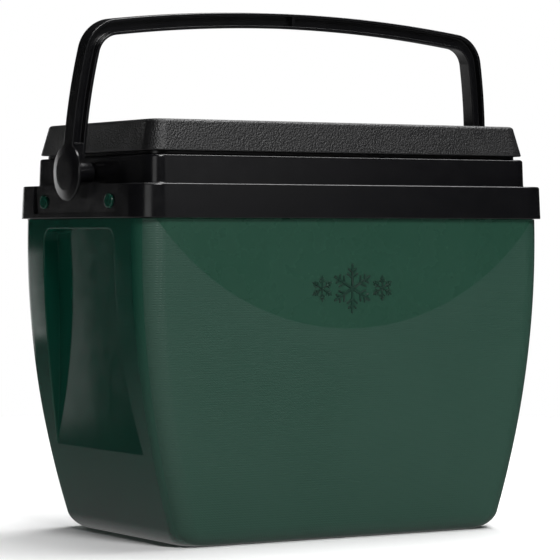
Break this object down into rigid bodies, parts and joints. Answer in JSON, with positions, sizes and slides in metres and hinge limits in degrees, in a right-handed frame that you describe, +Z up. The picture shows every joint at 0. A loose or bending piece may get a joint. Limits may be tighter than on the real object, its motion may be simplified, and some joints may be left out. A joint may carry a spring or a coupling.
{
  "type": "insulated cooler box",
  "caption": "Insulated picnic cooler box with a tapered moulded tub, stepped collar, lift-off grained lid and a swinging bail handle on side pivots.",
  "frame": {"origin": "centre of the base, on the surface that the box stands on", "axes": "+Z up, +X along the box's length towards its right end, -Y towards the front with the emblem"},
  "size_m": [0.4552, 0.2548, 0.4805],
  "materials": {
    "green_shell": "dark green moulded polypropylene, fine grain with smooth glossy panels",
    "black_gloss": "smooth black moulded plastic",
    "black_grain": "black plastic with a coarse pebble grain",
    "liner_white": "white food-safe plastic",
    "foam": "light rigid foam"
  },
  "bodies": {
    "box": {"outer_shell": "green_shell", "insulation_tub": "foam", "inner_liner": "liner_white", "collar": "black_gloss"},
    "lid": {"lid_cap": "black_grain", "lid_insulation": "foam", "lid_liner": "black_gloss"},
    "bail": {"bail_handle": "black_gloss", "pivot_pin_left": "black_gloss", "pivot_pin_right": "black_gloss", "pin_clip_left": "black_gloss", "pin_clip_right": "black_gloss"}
  },
  "joints": [
    {"name": "bail_swing", "type": "hinge", "parent": "box", "child": "bail", "pos_m": [0, 0, 0.33], "axis": [1, 0, 0], "range_deg": [-80, 70]},
    {"name": "lid_lift", "type": "slide", "parent": "box", "child": "lid", "axis": [0, 0, 1], "range_m": [0, 0.06]}
  ]
}
